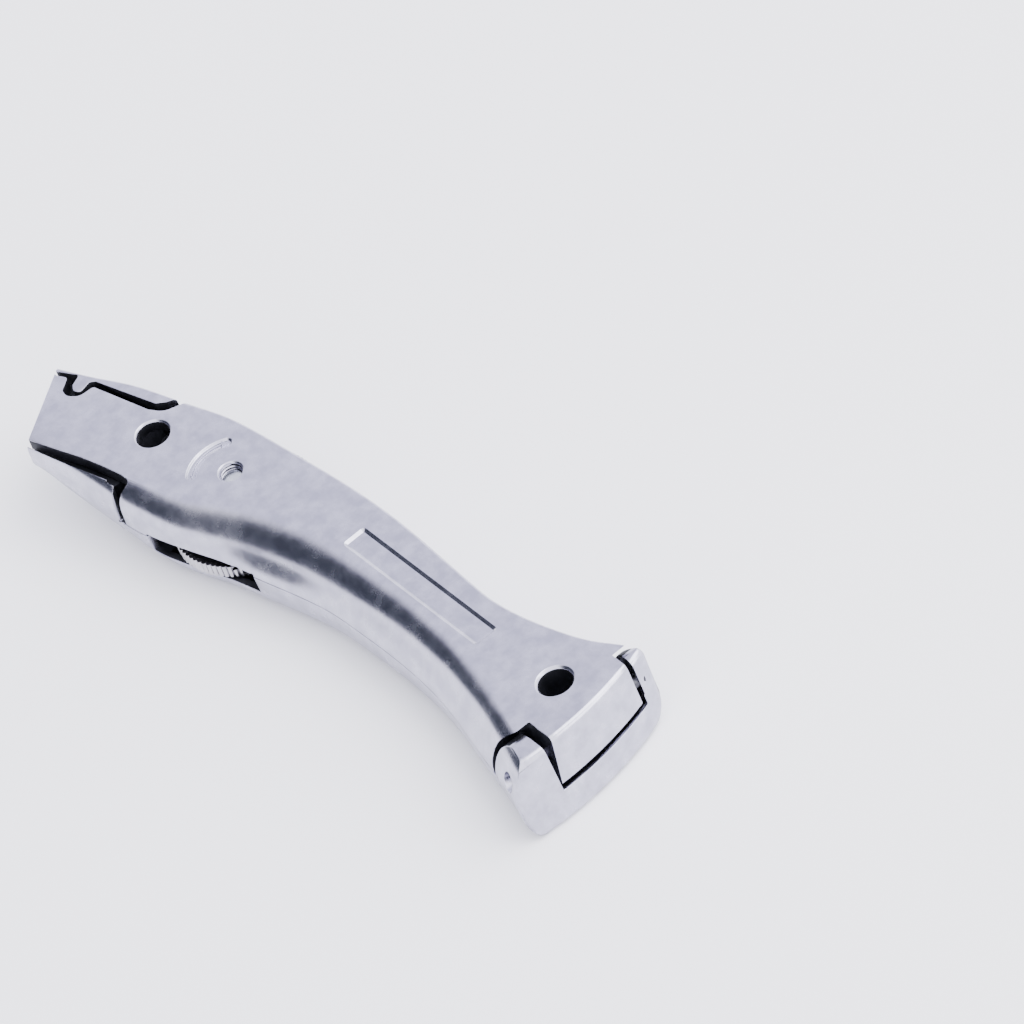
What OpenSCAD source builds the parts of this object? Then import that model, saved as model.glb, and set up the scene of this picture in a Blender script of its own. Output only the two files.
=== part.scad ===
// Die-cast trimming knife with a hinged cover, clamped by a knurled thumbwheel.
// The clamp screw's axis is at x = 0, y = 0 while the pieces are drawn; x runs to the
// tail, y to the spine and z up. The closed knife lies on z = 0 and is centred last.

/* [Body] */
// Length from the nose tip to the tail end
body_l = 173.6; // [165:0.2:210]
// Thickness of the closed knife
body_t = 20.4; // [19:0.1:26]
// Thickness of the side walls
wall = 2; // [1.6:0.1:2.6]
// Thickness of the cover's top and of its nose plate
top_wall = 3; // [2.4:0.1:3.6]
// Thickness of the base's floor
floor_t = 2.4; // [2:0.1:2.8]
// Radius of the roll along the belly's upper edge
roll_r = 6; // [5:0.1:6.5]
// Width of the gap between the nose plate and the cheeks, and round the tail tongue
seam_gap = 1.4; // [0.8:0.1:1.8]

/* [Clamp screw and thumbwheel] */
// Radius of the thumbwheel over its knurl
wheel_r = 16.5; // [15.6:0.1:17.2]
// Thickness of the thumbwheel
wheel_t = 3; // [2.4:0.1:3.2]
// Number of teeth on the thumbwheel
wheel_teeth = 84; // [60:1:100]
// Nominal thread diameter of the clamp screw
screw_d = 5; // [4:0.5:6]
// Play of the turning and hinged pieces in their bores, on the radius
play = 0.05; // [0.02:0.01:0.1]

/* [Hinge] */
// Diameter of the hinge pin
pin_d = 2.8; // [2.4:0.1:3]
// Distance of the pin's axis from the tail end
pin_from_tail = 7.3; // [7:0.1:8]
// Depth of the pin's axis below the cover's top
pin_below_top = 7.3; // [7:0.1:7.6]

/* [Holes and recesses] */
// Diameter of the round hole in the nose plate
nose_hole_d = 7.2; // [5:0.1:8]
// Diameter of the round hole near the tail
tail_hole_d = 7.5; // [5:0.1:9]
// Length of the blank label recess
panel_l = 46.4; // [30:0.2:48]
// Width of the blank label recess
panel_w = 5.9; // [4:0.1:7]
// Depth of the label recess and of the direction arrow
recess_d = 0.45; // [0.2:0.05:0.8]

/* [Blades] */
// Length of a spare blade along its cutting edge
blade_l = 61; // [50:0.5:62]
// Height of a spare blade
blade_h = 18.5; // [17:0.1:18.6]
// Thickness of a spare blade
blade_t = 0.65; // [0.4:0.05:0.7]
// Number of spare blades in the handle
blade_count = 5; // [5:1:5]

/* [Hidden] */
$fn = 64;
eps = 0.01;
far = 200;

nose_x = -54.8;                 // foremost point, at the spine cheek's tip
tail_x = nose_x + body_l;       // rearmost point
part_z = body_t / 2;            // plane where the two shells meet
mid_x = (nose_x + tail_x) / 2;  // centres the knife along x
mid_y = 0.42;                   // centres it along y
edge_r = 0.9;                   // rounding of the top's spine edge
under_r = 2.5;                  // rounding of the base's lower edge at the spine
belly_r = 5.5;                  // rounding of the base's lower edge at the belly
roll_a0 = 20;                   // slope of the roll where it meets roll_line
roll_a1 = 62;                   // slope of the roll where the skirt starts
roll_out = roll_r * (sin(roll_a1) - sin(roll_a0));

// Plan outlines: each is a smooth curve through [x, y] points from nose to tail.
spine_edge = [[-60, -6.8], [-48, -2.2], [-36.8, 2.6], [-25.3, 5.9], [-11.8, 9.7], [5, 11.75],
              [25, 13.6], [42, 14], [tail_x - 53.8, 12.9], [tail_x - 43.8, 12.6],
              [tail_x - 33.8, 13.9], [tail_x - 23.8, 16.4], [tail_x - 17.5, 18.6],
              [tail_x - 11.6, 21.7], [tail_x - 6.6, 24.3], [tail_x + 3, 26]];
spine_flare = [[-60, 0.3], [-25, 0.8], [0, 1.6], [20, 2], [tail_x - 50, 2], [tail_x - 20, 0.6],
               [tail_x - 6, -0.4], [tail_x + 3, -1]];
roll_line = [[-60, -22.6], [-42.8, -19.9], [-31.9, -18], [-19.6, -16.5], [-9.9, -14.5],
             [-2, -12.4], [5, -9.3], [12, -6.2], [20, -3.7], [30, -1.7], [45, -0.7],
             [tail_x - 58.8, -0.3], [tail_x - 43.8, -1.2], [tail_x - 33.8, -2.7],
             [tail_x - 23.8, -4.8], [tail_x - 15, -7.3], [tail_x - 7, -9.6], [tail_x + 3, -12.4]];
belly_line = [[-60, -24.8], [-44, -23], [-35.6, -21.9], [-19.7, -20], [-8.5, -18.6],
              [1, -16.2], [10, -13.6], [19.4, -11.5], [31, -9], [40, -7.6],
              [tail_x - 63.8, -7.1], [tail_x - 53.6, -7.2], [tail_x - 43.6, -7.9],
              [tail_x - 33.6, -9.5], [tail_x - 23.6, -11.8], [tail_x - 14.4, -13.8],
              [tail_x - 7, -15.6], [tail_x + 3, -18.4]];
crease_z = [[-60, body_t - 4.6], [-41, body_t - 5.4], [-33, body_t - 8], [-20, part_z + 0.15],
            [-8, part_z + 0.15], [tail_x + 3, part_z + 0.15]];
under_z = [[-60, body_t - 7], [-44, body_t - 6.8], [-37, body_t - 9.8], [-26, body_t - 14.2],
           [-19, body_t - 16.6], [-10, 1.3], [-3, 0.1], [2, 0], [tail_x + 3, 0]];

// Index of the span of a point list that holds x
function span(p, x, i = 0) = (i >= len(p) - 2 || x <= p[i + 1][0]) ? i : span(p, x, i + 1);
// Slope of the smooth curve at point i
function slope(p, i) = let (a = max(i - 1, 0), b = min(i + 1, len(p) - 1))
    (p[b][1] - p[a][1]) / (p[b][0] - p[a][0]);
// Height of the smooth curve through the points at x
function curve(p, x) = let (i = span(p, x), w = p[i + 1][0] - p[i][0], t = (x - p[i][0]) / w)
    (2 * t * t * t - 3 * t * t + 1) * p[i][1] + (t * t * t - 2 * t * t + t) * w * slope(p, i)
    + (3 * t * t - 2 * t * t * t) * p[i + 1][1] + (t * t * t - t * t) * w * slope(p, i + 1);

function spine_wall(x) = curve(spine_edge, x) + curve(spine_flare, x);

// Cross-section of the closed knife at x, from the spine crease over the top
function section(x) = let (ys = curve(spine_edge, x), fl = curve(spine_flare, x),
        yb = curve(roll_line, x) + roll_r * sin(roll_a0), yc = curve(belly_line, x),
        zc = curve(crease_z, x), zb = max(curve(under_z, x), 0), ur = min(under_r, 0.8 * (zc - zb)),
        br = min(belly_r, 0.8 * (zc - zb)), foot = yc + 0.25, top = body_t)
    [[x, ys + fl, zc], [x, ys + 0.4 * fl, top - 3], [x, ys, top - edge_r],
     [x, ys - 0.3 * edge_r, top - 0.3 * edge_r], [x, ys - edge_r, top],
     for (a = [0 : roll_a1 / 4 : roll_a1]) [x, yb - roll_r * sin(a), top - roll_r * (1 - cos(a))],
     [x, yc, zc],
     for (a = [0 : 30 : 90]) [x, foot + br * (1 - cos(a)), zb + br * (1 - sin(a))],
     [x, ys + fl - ur, zb], [x, ys + fl - 0.3 * ur, zb + 0.3 * ur], [x, ys + fl, zb + ur]];

// Closed body lofted through its cross-sections
module body_loft() {
    n = 46;
    x0 = nose_x - 3;
    x1 = tail_x + 2;
    rings = [for (i = [0 : n]) section(x0 + (x1 - x0) * i / n)];
    m = len(rings[0]);
    points = [for (r = rings) each r];
    skin = [for (i = [0 : n - 1], j = [0 : m - 1]) let (k = (j + 1) % m)
            each [[i * m + j, (i + 1) * m + j, (i + 1) * m + k], [i * m + j, (i + 1) * m + k, i * m + k]]];
    ends = [[for (j = [0 : m - 1]) j], [for (j = [m - 1 : -1 : 0]) n * m + j]];
    polyhedron(points = points, faces = concat(skin, ends), convexity = 6);
}

// Front edge of the nose: a straight cut on a slant
nose_cut_a = 55.8;
module front_of_nose() {
    translate([-53.9, -6.3, -1]) rotate([0, 0, -nose_cut_a]) translate([-30, -30, 0])
        translate([-30, 0, 0]) cube([90, 30, body_t + 2]);
}

// Everything behind the curved tail end
tail_r = 77;
module behind_tail() {
    difference() {
        translate([tail_x - 30, -60, -1]) cube([60, 120, body_t + 2]);
        translate([tail_x - tail_r, -7, -2]) cylinder(h = body_t + 4, r = tail_r, $fn = 180);
    }
}

module body() {
    difference() {
        body_loft();
        front_of_nose();
        behind_tail();
    }
}

// --- Nose outlines, in plan ---
plate_z = body_t - top_wall;            // underside of the nose plate
bed_z = plate_z - blade_t;              // where a fitted blade lies
line_a = [-23.8, 5.5];                  // the cover is a full shell behind a-b
line_b = [-15.6, -16.2];

// Outline of the cover's nose plate, with its notch for the hook
plate_path = [[-62, -6.5], [-52.6, -6.3], [-50.8, -5.4], [-49.8, -5.8], [-48.4, -7.9],
              [-46.65, -8.5], [-44.7, -7.3], [-43.96, -5.5], [-43.8, -3.7], [-28.8, -0.1],
              [-27.2, 0.65], [-25.3, 2.8], [-24.35, 4.3], [-23.4, 7.5], [-23, 30], [0, 30],
              [0, -30], [-20, -30], [-17.3, -21], [-15.3, -16.7], [-16.3, -15.6],
              [-17.6, -15.2], [-19.5, -15.4], [-24.5, -16.3], [-30.3, -17.6],
              [-36.5, -19.5], [-43.2, -21.5], [-62, -27]];
// Outline of the base's pocket for that plate: the inner edges of its cheeks
pocket_path = [[-62, -9], [-53.4, -5.6], [-49.6, -3.8], [-48.7, -4], [-47.9, -5.7],
               [-46.6, -6.8], [-45.3, -6.3], [-45, -4.9], [-45.6, -3.4], [-44.7, -2.4],
               [-29.2, 1.8], [-27.8, 3], [-27.2, 4.1], [-26, 6], [-25, 30], [0, 30],
               [0, -30], [-23, -30], [-21.4, -22], [-18.9, -18.7], [-19.6, -18.05],
               [-31.9, -20], [-42.8, -22.7], [-62, -28]];
// Raised block under the nose plate, seen in plan
block_path = [[-62, -30], [-62, 30], [-29.5, 30], [-29.5, 1.2], [-27.4, -4], [-20.8, -15.6],
              [-21.5, -30]];

module prism(path, z0, z1) {
    translate([0, 0, z0]) linear_extrude(z1 - z0) polygon(path);
}

// --- Handle cavity, in plan, between the walls ---
cavity_x0 = -26;
cavity_x1 = tail_x - 21;
cavity_n = 24;

// --- Clamp screw stack, from the bottom up ---
clip_pocket_z = 1.5;
wheel_z = part_z - wheel_t - 1.2;
washer_t = 0.5;
spring_t = 0.4;
boss_top_z = wheel_z - play - washer_t;
cover_boss_z = wheel_z + wheel_t + 2 * play + spring_t;
journal_r = screw_d / 2;
stud_r = screw_d / 2 - 0.5;
collar_r = journal_r + 1.6;
slot_z0 = wheel_z - 0.5;
slot_z1 = wheel_z + wheel_t + 1.9;
slot_x0 = -10.2;
slot_x1 = 18.2;

// --- Hinge ---
pin_x = tail_x - pin_from_tail;
pin_z = body_t - pin_below_top;
ear_r = 6.4;
pin_end_y = 21.6;               // the pin's blind end in the spine ear
tongue_y0 = -4.1;
tongue_y1 = 18.6;
tongue_gap = seam_gap;
tongue_under_z = body_t - 11.6;
ledge_z = tongue_under_z - 0.4;
ledge_x = pin_x + 4.1;

module across(y0, y1, r) {
    translate([pin_x, y0, pin_z]) rotate([-90, 0, 0]) cylinder(h = y1 - y0, r = r);
}

// Plan outline of the handle cavity, offset inwards from belly and spine
cavity_low = let (dx = (cavity_x1 - cavity_x0) / cavity_n)
    concat([for (i = [0 : cavity_n]) let (x = cavity_x0 + i * dx) [x, curve(belly_line, x) + wall]],
           [for (i = [cavity_n : -1 : 0]) let (x = cavity_x0 + i * dx) [x, spine_wall(x) - wall]]);
cavity_high = let (dx = (cavity_x1 - cavity_x0) / cavity_n)
    concat([for (i = [0 : cavity_n]) let (x = cavity_x0 + i * dx)
                [x, max(curve(roll_line, x) - roll_out, curve(belly_line, x)) + wall + 0.2]],
           [for (i = [cavity_n : -1 : 0]) let (x = cavity_x0 + i * dx)
                [x, curve(spine_edge, x) - wall]]);

module wheel_slot() {
    translate([slot_x0, -30, slot_z0]) cube([slot_x1 - slot_x0, 24, slot_z1 - slot_z0]);
    translate([-12.5, 6, slot_z0]) cube([26, 24, slot_z1 - slot_z0]);
    translate([0, 0, slot_z0]) cylinder(h = slot_z1 - slot_z0, r = wheel_r + 0.7);
}

module lower_shell() {
    color("lightsteelblue") difference() {
        union() {
            difference() {
                intersection() {
                    body();
                    union() {
                        translate([-far, -far / 2, -1]) cube([2 * far, far, part_z + 1]);
                        nose_keep();
                        ears_keep();
                    }
                }
                // handle cavity, held off the nose block and the tail
                difference() {
                    prism(cavity_low, floor_t, body_t);
                    prism(block_path, 0, body_t + 1);
                    for (s = nose_steps) translate([cavity_x0 - 5, -40, 0])
                        cube([s[0] - cavity_x0 + 5, 80, s[1]]);
                }
                // room for the tongue to swing
                translate([cavity_x1 - eps, tongue_y0 - tongue_gap, tongue_under_z - 1.5])
                    cube([ledge_x - cavity_x1, tongue_y1 - tongue_y0 + 2 * tongue_gap, body_t]);
                translate([cavity_x1 - 6, tongue_y0 - tongue_gap, ledge_z])
                    cube([40, tongue_y1 - tongue_y0 + 2 * tongue_gap, body_t]);
                wheel_slot();
            }
            translate([0, 0, floor_t / 2]) cylinder(h = boss_top_z - floor_t / 2, r = 7);
            translate([clip_x, clip_y, floor_t / 2]) cylinder(h = clip_z - floor_t / 2, r = 4);
        }
        // bore for the bush, and the recess of the retaining ring
        translate([0, 0, clip_pocket_z]) cylinder(h = body_t, r = bush_r);
        translate([0, 0, -1]) cylinder(h = clip_pocket_z + 1, r = 5.4);
        // room for the spare blades where the wall is thick
        blade_place(0) linear_extrude(blade_count * blade_t + blade_gap) blade_outline(blade_gap);
        // hinge pin
        across(-40, pin_end_y + 0.1, pin_d / 2 + 0.01);
        // clip screw
        translate([clip_x, clip_y, floor_t / 2 + 0.6]) cylinder(h = body_t, r = clip_screw_r);
        for (p = [peg_front, peg_rear]) translate([p[0], p[1], bed_z - 2]) cylinder(h = 3, r = peg_r);
        for (p = stop_pins) translate([p[0], p[1], floor_t - 1]) cylinder(h = 2, r = stop_r);
        // seat of the wear plate and its two rivets
        prism(wear_path, bed_z - wear_t, bed_z + 1);
        for (p = wear_rivets) translate([p[0], p[1], bed_z - 2]) cylinder(h = 3, r = rivet_r);
    }
}
// Steps of the cavity's floor over the rising underside: [end x, floor z]
nose_steps = [[-21.5, 9], [-16, 7], [-8, 4.6]];
bush_r = journal_r + 1.2;

// Cheeks and nose block that rise above the parting plane
module nose_keep() {
    difference() {
        prism([[-62, -30], [-62, 30], [-25.4, 30], [-26, 6], [-17.3, -18.6], [-20.3, -22], [-23, -30]],
              part_z - 2, body_t + 1);
        prism(pocket_path, bed_z, body_t + 2);
        difference() {
            prism(pocket_path, part_z, body_t + 2);
            prism(block_path, 0, body_t + 3);
        }
    }
}

// Ears that carry the hinge pin on either side of the tongue
module ears_keep() {
    for (y = [[-40, tongue_y0 - tongue_gap], [tongue_y1 + tongue_gap, 60]]) {
        across(y[0], y[1], ear_r);
        translate([pin_x - ear_r, y[0], part_z - 2]) cube([far / 4, y[1] - y[0], pin_z - part_z + 2]);
    }
}

module upper_shell() {
    color("lightsteelblue") difference() {
        union() {
            difference() {
                intersection() {
                    body();
                    union() {
                        translate([-far, -far / 2, part_z]) cube([far + pin_x, far, body_t]);
                        tongue_block();
                    }
                }
                wheel_slot();
                // nose plate outline, and its underside
                difference() {
                    translate([-62, -40, part_z - 1]) cube([56, 80, body_t]);
                    prism(plate_path, 0, body_t + 2);
                }
                prism([[-70, -40], [-70, 40], [-23.8, 40], line_a, line_b, [-15.6, -40]],
                      part_z - 1, plate_z);
                // handle cavity
                difference() {
                    prism(cavity_high, part_z - 1, plate_z);
                    translate([pin_x - 8.5, -40, 0]) cube([40, 80, body_t]);
                }
                ear_room();
            }
            translate([0, 0, cover_boss_z]) cylinder(h = plate_z + 1 - cover_boss_z, r = 5.5);
        }
        // thread of the clamp screw, and its countersink
        translate([0, 0, cover_boss_z - 1]) cylinder(h = body_t, r = screw_d / 2);
        translate([0, 0, body_t - 0.35]) cylinder(h = 0.36, r1 = screw_d / 2, r2 = screw_d / 2 + 0.36);
        translate([nose_hole[0], nose_hole[1], part_z]) cylinder(h = body_t, r = nose_hole_d / 2);
        translate([tail_hole[0], tail_hole[1], part_z]) cylinder(h = body_t, r = tail_hole_d / 2);
        across(-40, 60, pin_d / 2 + play);
        label_recess();
        arrow_recess();
    }
}
nose_hole = [-22.5, -3.8];
tail_hole = [tail_x - 14.6, 6.5];

// Tongue that carries the hinge bore; its end face slants slightly
module tongue_block() {
    prism([[pin_x - 5, tongue_y0], [pin_x + 3.1, tongue_y0], [pin_x + 2.9, 6], [pin_x + 1.9, tongue_y1],
           [pin_x - 5, tongue_y1]], tongue_under_z, body_t + 1);
}

// Space taken out of the cover round the two ears
module ear_room() {
    for (y = [[-40, tongue_y0], [tongue_y1, 60]]) {
        across(y[0], y[1], ear_r + tongue_gap);
        translate([pin_x - ear_r - tongue_gap + 0.4, y[0], part_z - 1])
            cube([far / 4, y[1] - y[0], pin_z - part_z + 1]);
        translate([pin_x, y[0], part_z - 1]) cube([far / 4, y[1] - y[0], body_t]);
    }
}

module rounded_bar(l, w, r, h) {
    translate([r, 0, 0]) cube([l - 2 * r, w, h]);
    translate([0, r, 0]) cube([l, w - 2 * r, h]);
    for (x = [r, l - r], y = [r, w - r]) translate([x, y, 0]) cylinder(h = h, r = r, $fn = 24);
}

module label_recess() {
    translate([mid_panel - panel_l / 2, panel_y - panel_w / 2, body_t - recess_d])
        rounded_bar(panel_l, panel_w, 1.1, 1);
}
mid_panel = (25 + tail_x - 24.9) / 2;
panel_y = 5.15;

// Curved turning-direction mark round the screw, with a head at its spine end
module arrow_recess() {
    translate([0, 0, body_t - recess_d]) {
        intersection() {
            difference() {
                cylinder(h = 1, r = 9.7);
                translate([0, 0, -1]) cylinder(h = 3, r = 7.3);
            }
            linear_extrude(1) polygon([[0, 0], for (a = [146 : 8 : 226]) 14 * [cos(a), sin(a)]]);
        }
        for (end = [[146, 1.9], [226, 1.5]]) rotate([0, 0, end[0]]) translate([8.5, 0, 0])
            cylinder(h = 1, r = end[1], $fn = 24);
    }
}

module hinge_pin() {
    color("silver") across(-12.3, pin_end_y, pin_d / 2);
}

// Knurled wheel with a raised hub on both sides
module thumbwheel() {
    color("gainsboro") difference() {
        translate([0, 0, wheel_z]) linear_extrude(wheel_t)
            polygon([for (i = [0 : 2 * wheel_teeth - 1])
                (wheel_r - (i % 2) * 0.45) * [cos(i * 180 / wheel_teeth), sin(i * 180 / wheel_teeth)]]);
        for (z = [wheel_z - 1, wheel_z + wheel_t - 0.6]) difference() {
            translate([0, 0, z]) cylinder(h = 1.6, r = wheel_r - 3);
            translate([0, 0, z - 1]) cylinder(h = 4, r = 7.5);
        }
        translate([0, 0, wheel_z - 1]) cylinder(h = wheel_t + 2, r = collar_r);
    }
}

// Stud: plain journal below, pressed collar in the wheel, threaded end above
module clamp_screw() {
    color("silver") difference() {
        union() {
            translate([0, 0, 0.3]) cylinder(h = wheel_z - 0.3, r = journal_r);
            translate([0, 0, wheel_z]) cylinder(h = wheel_t, r = collar_r);
            translate([0, 0, wheel_z + wheel_t]) cylinder(h = body_t - 1.8 - wheel_z - wheel_t, r = stud_r);
        }
        translate([0, 0, 0.6]) difference() {
            cylinder(h = 0.6, r = journal_r + 1);
            translate([0, 0, -1]) cylinder(h = 3, r = journal_r - 0.4);
        }
    }
}

module screw_bush() {
    color("goldenrod") difference() {
        translate([0, 0, clip_pocket_z]) cylinder(h = boss_top_z - clip_pocket_z, r = bush_r);
        cylinder(h = body_t, r = journal_r + play);
    }
}

module ring(z, t, r_in, r_out) {
    translate([0, 0, z]) difference() {
        cylinder(h = t, r = r_out);
        translate([0, 0, -1]) cylinder(h = t + 2, r = r_in);
    }
}

module thrust_washer() {
    color("silver") ring(boss_top_z, washer_t, journal_r + play, 6.5);
}

module spring_washer() {
    color("silver") ring(wheel_z + wheel_t, spring_t, collar_r - 0.6, 6.8);
}

// Open ring snapped in the groove at the stud's lower end
module retaining_ring() {
    color("dimgray") difference() {
        ring(0.6, 0.6, journal_r - 0.4, 4.4);
        translate([0, -0.9, -1]) cube([10, 1.8, 4]);
    }
}

// --- Blade seat in the nose ---
peg_r = 1;
peg_front = [-45.2, -11.6];
peg_rear = [-35.4, -9.4];
wear_t = 0.8;
wear_rivets = [[-41.8, -7.4], [-32.2, -12.4]];
rivet_r = 0.9;
wear_path = [[-49.4, -10.8], [-43.6, -6.6], [-30.6, -3.6], [-27, -13.2], [-42.2, -17.3]];

module peg(p) {
    color("silver") translate([p[0], p[1], bed_z - 2]) cylinder(h = 2 + 0.85 * blade_t, r = peg_r);
}
module blade_peg_front() { peg(peg_front); }
module blade_peg_rear() { peg(peg_rear); }

// Hardened plate let into the bed under the blade
module wear_plate() {
    color("slategray") difference() {
        prism(wear_path, bed_z - wear_t, bed_z);
        for (p = [peg_front, peg_rear]) translate([p[0], p[1], bed_z - 2]) cylinder(h = 3, r = peg_r);
        for (p = wear_rivets) translate([p[0], p[1], bed_z - 2]) cylinder(h = 3, r = rivet_r);
    }
}
module wear_plate_rivets() {
    color("silver") for (p = wear_rivets) translate([p[0], p[1], bed_z - 2]) cylinder(h = 2, r = rivet_r);
}

// --- Blade magazine in the base ---
blade_gap = 0.1;                // room round the stack
blade_a = 1.5;                  // turn of the stack in plan
blade_x = 35;
blade_y = -5.3;
clip_x = tail_x - 41.5;
clip_y = 3;
clip_z = floor_t + blade_count * blade_t + 0.05;   // underside of the clip
clip_screw_r = 1.25;
stop_r = 1;
stop_pins = [[3.2, -8.2], [clip_x - 6.3, -1.6]];

module blade_place(i) {
    translate([blade_x, blade_y, floor_t + i * blade_t]) rotate([0, 0, blade_a]) children();
}

// Trapezoid of a blade, with room all round it
module blade_outline(room) {
    top_l = blade_l - 28;
    polygon([[-blade_l / 2 - room, -room], [blade_l / 2 + room, -room],
             [top_l / 2 + room, blade_h + room], [-top_l / 2 - room, blade_h + room]]);
}

// Blade with its two locating notches
module spare_blade(i) {
    color("gray") blade_place(i) linear_extrude(blade_t) difference() {
        blade_outline(0);
        for (s = [-1, 1]) translate([s * 3.6 - 1, blade_h - 3]) square([2, 4]);
    }
}
module spare_blade_1() { spare_blade(0); }
module spare_blade_2() { spare_blade(1); }
module spare_blade_3() { spare_blade(2); }
module spare_blade_4() { spare_blade(3); }
module spare_blade_5() { spare_blade(4); }

// Spring strip that holds the spare blades down, with a turned-up tip
module magazine_clip() {
    color("silver") difference() {
        translate([clip_x, clip_y + 4, clip_z]) rotate([90, 0, 0]) linear_extrude(8)
            polygon([[4, 0], [4, 0.5], [-24, 0.5], [-28, 3.3], [-28.3, 2.9], [-24.2, 0]]);
        translate([clip_x, clip_y, 0]) cylinder(h = body_t, r = clip_screw_r + 0.1);
    }
}

module clip_screw() {
    color("silver") difference() {
        union() {
            translate([clip_x, clip_y, floor_t / 2 + 0.6])
                cylinder(h = clip_z + 0.5 - floor_t / 2 - 0.6, r = clip_screw_r);
            translate([clip_x, clip_y, clip_z + 0.5]) cylinder(h = 1.4, r = 2.6);
        }
        translate([clip_x - 3, clip_y - 0.4, clip_z + 1.3]) cube([6, 0.8, 1]);
    }
}

module blade_stop_pins() {
    color("silver") for (p = stop_pins) translate([p[0], p[1], floor_t - 1])
        cylinder(h = clip_z - floor_t + 1, r = stop_r);
}

translate([-mid_x, -mid_y, 0]) {
    lower_shell();
    upper_shell();
    hinge_pin();
    thumbwheel();
    clamp_screw();
    screw_bush();
    thrust_washer();
    spring_washer();
    retaining_ring();
    blade_peg_front();
    blade_peg_rear();
    magazine_clip();
    clip_screw();
    blade_stop_pins();
    spare_blade_1();
    spare_blade_2();
    spare_blade_3();
    spare_blade_4();
    spare_blade_5();
    wear_plate();
    wear_plate_rivets();
}
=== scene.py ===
import math

import bmesh
import bpy
from mathutils import Matrix, Vector


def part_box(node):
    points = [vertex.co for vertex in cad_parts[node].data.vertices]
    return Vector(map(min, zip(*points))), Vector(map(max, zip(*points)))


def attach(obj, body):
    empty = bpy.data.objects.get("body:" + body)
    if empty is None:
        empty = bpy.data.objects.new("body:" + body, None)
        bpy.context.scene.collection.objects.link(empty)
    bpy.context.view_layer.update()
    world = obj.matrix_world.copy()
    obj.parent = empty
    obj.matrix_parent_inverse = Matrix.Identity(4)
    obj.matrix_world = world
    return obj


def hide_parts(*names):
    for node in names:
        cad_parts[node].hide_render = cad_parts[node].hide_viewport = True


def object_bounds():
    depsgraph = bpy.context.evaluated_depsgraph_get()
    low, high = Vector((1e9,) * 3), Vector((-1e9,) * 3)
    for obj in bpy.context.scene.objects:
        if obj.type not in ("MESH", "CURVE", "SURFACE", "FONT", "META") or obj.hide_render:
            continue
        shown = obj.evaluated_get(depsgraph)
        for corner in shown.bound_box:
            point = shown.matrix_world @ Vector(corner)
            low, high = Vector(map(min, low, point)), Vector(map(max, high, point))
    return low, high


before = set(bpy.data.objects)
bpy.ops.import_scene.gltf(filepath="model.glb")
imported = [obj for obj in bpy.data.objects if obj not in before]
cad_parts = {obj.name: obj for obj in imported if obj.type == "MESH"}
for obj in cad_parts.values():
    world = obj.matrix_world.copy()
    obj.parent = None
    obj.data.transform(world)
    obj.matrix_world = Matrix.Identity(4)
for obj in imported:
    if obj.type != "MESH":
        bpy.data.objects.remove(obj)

# Plan positions below are millimetres from the clamp screw's axis: x runs to the tail,
# y to the spine and z up. The frame says where that axis is.
MM = 0.001
cad_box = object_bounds()
screw_low, screw_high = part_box("clamp_screw")
AXIS = ((screw_low[0] + screw_high[0]) / 2, (screw_low[1] + screw_high[1]) / 2)
NOSE_X = (cad_box[0][0] - AXIS[0]) / MM
TAIL_X = (cad_box[1][0] - AXIS[0]) / MM
TOP = cad_box[1][2] / MM
PART_Z = TOP / 2
TOP_WALL = 3.0
BLADE_T = 0.65
FLOOR_T = 2.4
WALL = 2.0
PLATE_Z = TOP - TOP_WALL
BED_Z = PLATE_Z - BLADE_T
ROLL_A0 = math.radians(20)        # slope of the roll at roll_line
ROLL_A1 = math.radians(64)        # slope of the roll where the skirt starts
ROLL_OUT = 6 * (math.sin(ROLL_A1) - math.sin(ROLL_A0))     # how far a middling roll reaches out
EDGE_R = 0.9                      # top edge at the spine
UNDER_R = 2.5                     # lower edge at the spine
UNDER_GROWTH = 5.5                # what that edge's radius gains towards the tail
BELLY_R = 5.5                     # lower edge at the belly
PLAY = 0.05
FAR = 60.0                        # half width of a cutter that runs right past the knife


def metres(x, y, z):
    return Vector((AXIS[0] + x * MM, AXIS[1] + y * MM, z * MM))


# ---- outlines of the closed knife: smooth curves through (x, y) or (x, height) points ----
spine_edge = [(-60, -6.8), (-48, -2.2), (-36.8, 2.6), (-25.3, 5.9), (-11.8, 9.7), (5, 11.75),
              (25, 13.6), (42, 14), (TAIL_X - 53.8, 12.9), (TAIL_X - 43.8, 12.6),
              (TAIL_X - 33.8, 13.9), (TAIL_X - 23.8, 16.4), (TAIL_X - 17.5, 18.6),
              (TAIL_X - 11.6, 21.7), (TAIL_X - 6.6, 24.3), (TAIL_X + 3, 26)]
spine_flare = [(-60, 0.3), (-25, 0.8), (0, 1.6), (20, 2), (TAIL_X - 50, 2), (TAIL_X - 20, 0.6),
               (TAIL_X - 6, -0.4), (TAIL_X + 3, -1)]
roll_line = [(-60, -27), (-42.8, -22), (-31.9, -19), (-19.6, -16.7), (-9.9, -14.5),
             (-2, -12.4), (5, -9.3), (12, -6.2), (20, -3.7), (30, -1.7), (45, -0.7),
             (TAIL_X - 58.8, -0.3), (TAIL_X - 43.8, -1.2), (TAIL_X - 33.8, -2.7),
             (TAIL_X - 23.8, -4.8), (TAIL_X - 15, -7.3), (TAIL_X - 7, -9.6), (TAIL_X + 3, -12.4)]
roll_radius = [(-60, 1.4), (-42, 1.6), (-32, 2.6), (-20, 4.4), (-14, 5.4), (8, 7.8), (25, 8.4),
               (45, 7.4), (70, 6.4), (TAIL_X + 3, 5.4)]
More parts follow.
